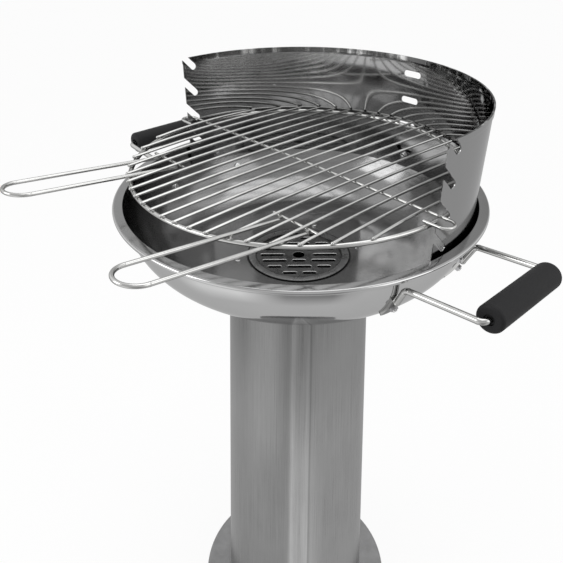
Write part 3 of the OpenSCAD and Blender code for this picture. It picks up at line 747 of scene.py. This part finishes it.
DISC_STEPS = 180
DISC_EDGE_R = 0.6 * MM
STEP_WIDTH = 2.4 * MM
STEP_BEND_R = 0.7 * MM
BORDER_BEVEL = 1 * MM
HOLE_BEVEL = 0.4 * MM
EMBER_CUT_DEPTH = 9 * MM
RIM_T = 0.7 * MM
RIM_STEPS = 12
# How far a rim's outer edge reaches into the disc all round its slot
RIM_OVERLAP = 0.01 * MM


def slot_rim(bm, place, length):
    """A slot's turned-down rim: a quarter round with a short wall below, all round the slot."""
    low = -SLOT_DROP - EMBER_T
    section = arc(-SLOT_RIM, -SLOT_RIM, SLOT_RIM, 90, 0, steps=5)
    section += [(0, low), (-RIM_T, low)]
    section += arc(-SLOT_RIM, -SLOT_RIM, SLOT_RIM - RIM_T, 0, 90, steps=4)
    loops = []
    for inset, z in section:
        outline = stadium(length - 2 * inset, SLOT_W - 2 * inset, RIM_STEPS)
        loops.append([bm.verts.new(place @ Vector((x, y, z))) for x, y in outline])
    bridge_all(bm, loops, True)


disc = [(EMBER_HOLE_R, PANEL_Z - EMBER_T / 2)]
disc += arc(EMBER_HOLE_R + DISC_EDGE_R, PANEL_Z - DISC_EDGE_R, DISC_EDGE_R, 180, 90, steps=4)
disc += [(STEP_R - STEP_WIDTH, PANEL_Z)]
bend_x = STEP_R - STEP_WIDTH + STEP_BEND_R
disc += arc(bend_x, BORDER_Z - STEP_BEND_R, STEP_BEND_R, 180, 90, steps=5)
disc += arc(EMBER_R - DISC_EDGE_R, BORDER_Z - DISC_EDGE_R, DISC_EDGE_R, 90, -60, steps=6)
disc += [(EMBER_R - BORDER_BEVEL, EMBER_SEAT_Z), (STEP_R, EMBER_SEAT_Z)]
disc += [(STEP_R, PANEL_Z - EMBER_T * 0.8), (STEP_R - EMBER_T, PANEL_Z - EMBER_T)]
disc += [(EMBER_HOLE_R + HOLE_BEVEL, PANEL_Z - EMBER_T)]
bm = bmesh.new()
lathe(bm, disc, DISC_STEPS)
ember = piece("ember_grate_sheet", bm, EMBER, EMBER_STEEL, smooth_angle=50)
cutters = []
rims = bmesh.new()
grown = 2 * (SLOT_RIM - RIM_OVERLAP)
turn = Matrix.Rotation(EMBER_TURN, 4, "Z")
for row in range(1 - len(SLOT_ROWS), len(SLOT_ROWS)):
    for x, length in SLOT_ROWS[abs(row)]:
        place = turn @ Matrix.Translation((x, row * ROW_PITCH, PANEL_Z))
        outline = stadium(length + grown, SLOT_W + grown, SLOT_END_STEPS)
        hole = prism("ember_cutter", outline, EMBER_CUT_DEPTH)
        hole.matrix_world = place
        cutters.append(hole)
        slot_rim(rims, place, length)
cut(ember, cutters)
piece("ember_slot_rims", rims, EMBER, RIM_HIGHLIGHT_STEEL, smooth_angle=60)
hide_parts("ember_grate")


# Weld spots where the cooking grate's bars meet its ring

WELD_SIZE = Vector((1.9, 2.4, 0.9)) * MM
WELD_ROWS = 5
WELD_STEPS = 10
# How much the spots differ in width, how deep their three lobes are, and a factor that
# spreads neighbouring numbers over the sine
WELD_SPREAD = 0.12
LOBE_DEPTH = 0.08
SHUFFLE = 12.9898


def weld_spot(bm, place, number):
    """A small flattened lump of weld metal, each number a little different."""
    width = 1 + WELD_SPREAD * math.sin(number * SHUFFLE)
    rings = []
    for row in range(1, WELD_ROWS):
        tilt = math.pi * row / WELD_ROWS
        ring = []
        for k in range(WELD_STEPS):
            a = 2 * math.pi * k / WELD_STEPS + number
            wide = (width + LOBE_DEPTH * math.sin(3 * a + number)) * math.sin(tilt)
            shape = Vector((wide * math.cos(a), wide * math.sin(a), math.cos(tilt)))
            ring.append(bm.verts.new(place + shape * WELD_SIZE))
        rings.append(ring)
    bridge_all(bm, rings, False)
    for ring, end in ((rings[0], 1), (rings[-1], -1)):
        tip = bm.verts.new(place + Vector((0, 0, end * WELD_SIZE.z)))
        for here, after in zip(ring, ring[1:] + ring[:1]):
            bm.faces.new((tip, here, after)[::end])


bm = bmesh.new()
ring_low, ring_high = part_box("grate_ring")
ring_r = (ring_high.x - ring_low.x - (ring_high.z - ring_low.z)) / 2
for i in range(GRATE_BARS):
    x = (i - (GRATE_BARS - 1) / 2) * BAR_PITCH
    reach = math.sqrt(ring_r ** 2 - x * x)
    for side in (-1, 1):
        weld_spot(bm, Vector((x, side * reach, ring_high.z)), i * 2 + side)
piece("weld_spots", bm, GRATE, WELD, smooth_angle=180)


# Camera at the photograph's viewing angle

PHOTO_SIZE = 563
PHOTO_FOCAL_PX = 600
SENSOR = 36
CAMERA_PLACE = Vector((0.5076, -0.4942, FLANGE_Z + 0.3268))
CAMERA_LOOK = Vector((-0.6160, 0.5606, -0.5533)).normalized()
CAMERA_ROLL = math.radians(-0.344)

camera_data = bpy.data.cameras.new("camera")
camera = bpy.data.objects.new("camera", camera_data)
bpy.context.scene.collection.objects.link(camera)
camera_data.sensor_width = SENSOR
camera_data.lens = PHOTO_FOCAL_PX / PHOTO_SIZE * SENSOR
camera_data.clip_start = 0.01
level = CAMERA_LOOK.cross(Vector((0, 0, 1))).normalized()
upright = level.cross(CAMERA_LOOK)
right = level * math.cos(CAMERA_ROLL) + upright * math.sin(CAMERA_ROLL)
up = upright * math.cos(CAMERA_ROLL) - level * math.sin(CAMERA_ROLL)
facing = Matrix((right, up, -CAMERA_LOOK)).transposed().to_4x4()
camera.matrix_world = Matrix.Translation(CAMERA_PLACE) @ facing
bpy.context.scene.camera = camera


# Floor, world and soft studio lamps

FLOOR_R = 14
FLOOR_STEPS = 96
FLOOR_GLOW = 0.88
# What mirrors see of the floor: an even grey near the object, and further out a bright
# panel, the dark place where the photographer stands and grey again, by (degrees, level)
NEAR_GLOSS = 0.6
NEAR_R, FAR_R = 0.55, 0.85
FAR_GLOSS = [(-180, 0.6), (-135, 0.6), (-112, 0.95), (-82, 1.0), (-66, 0.62), (-52, 0.26),
             (-22, 0.22), (-13, 0.5), (0, 0.62), (180, 0.6)]

LIGHT_LEVEL = 0.85
# Darker sides of the room that mirrors see: direction, factor in its middle and, as
# cosines, where the darkening starts and where it is full
DARK_SIDES = [((0.6, -0.62, 0.5), 0.6, 0.1, 0.85), ((-0.32, 0.88, 0.34), 0.4, 0.86, 1.0),
              ((-0.82, 0.38, 0.43), 0.6, 0.93, 1.0)]

# Lamps that aim at the bowl: name, place, width and height, power in watts
LAMPS = [("key", (-0.8, -1.75, FLANGE_Z + 0.9), (1.1, 1.1), 9),
         ("fill", (1.6, 0.4, FLANGE_Z + 0.84), (1.0, 1.4), 4),
         ("top", (0.1, 0.3, FLANGE_Z + 1.84), (1.4, 1.4), 7)]


def seen_directly(m, paths):
    """1 for rays from the camera, a reflection or glass, which show the background as it is."""
    seen = m.calculate("MAXIMUM", paths["Is Camera Ray"], paths["Is Glossy Ray"])
    return m.calculate("MAXIMUM", seen, paths["Is Transmission Ray"])


floor_look = Nodes(bpy.data.materials.new("floor"))
floor_look.set(Base_Color=(0.9, 0.9, 0.9, 1), Roughness=0.9)
paths = floor_look.add("ShaderNodeLightPath").outputs
far = floor_look.graded(floor_look.turn_angle(), [(math.radians(a), g) for a, g in FAR_GLOSS])
away = floor_look.rise(floor_look.radius(), NEAR_R, FAR_R)
mirrored = floor_look.mix(away, NEAR_GLOSS, far)
glow = floor_look.add("ShaderNodeEmission")
floor_look.link(floor_look.mix(paths["Is Camera Ray"], mirrored, 1.0), glow.inputs["Strength"])
floor_look.blend_out(floor_look.times(seen_directly(floor_look, paths), FLOOR_GLOW), glow)

bm = bmesh.new()
bmesh.ops.create_circle(bm, cap_ends=True, segments=FLOOR_STEPS, radius=FLOOR_R)
floor = link_object("floor", bm)
floor.data.materials.append(floor_look.owner)

studio = Nodes(bpy.data.worlds.new("studio"), "Background", "World Output")
bpy.context.scene.world = studio.owner
studio.set(Color=(1, 1, 1, 1), Strength=LIGHT_LEVEL)
paths = studio.add("ShaderNodeLightPath").outputs
# mirrors see a white studio that gets darker towards the dim sides of the room
room = 1.0
for direction, shade, edge, middle in DARK_SIDES:
    toward = tuple(Vector(direction).normalized())
    seen = studio.vector("DOT_PRODUCT", studio.coordinates("Generated"), toward)["Value"]
    room = studio.times(room, studio.remap(seen, 1.0, shade, edge, middle))
backdrop = studio.add("ShaderNodeBackground", _Color=(1, 1, 1, 1))
studio.link(studio.mix(paths["Is Camera Ray"], room, 1.0), backdrop.inputs["Strength"])
studio.blend_out(seen_directly(studio, paths), backdrop)

for name, place, size, power in LAMPS:
    lamp_data = bpy.data.lights.new(name, "AREA")
    lamp_data.shape = "RECTANGLE"
    lamp_data.size, lamp_data.size_y = size
    lamp_data.energy = power
    lamp = bpy.data.objects.new(name, lamp_data)
    bpy.context.scene.collection.objects.link(lamp)
    aim = Vector((0, 0, FLANGE_Z)) - Vector(place)
    facing = aim.to_track_quat("-Z", "Y").to_matrix().to_4x4()
    lamp.matrix_world = Matrix.Translation(place) @ facing

bpy.context.scene.view_settings.view_transform = "Standard"
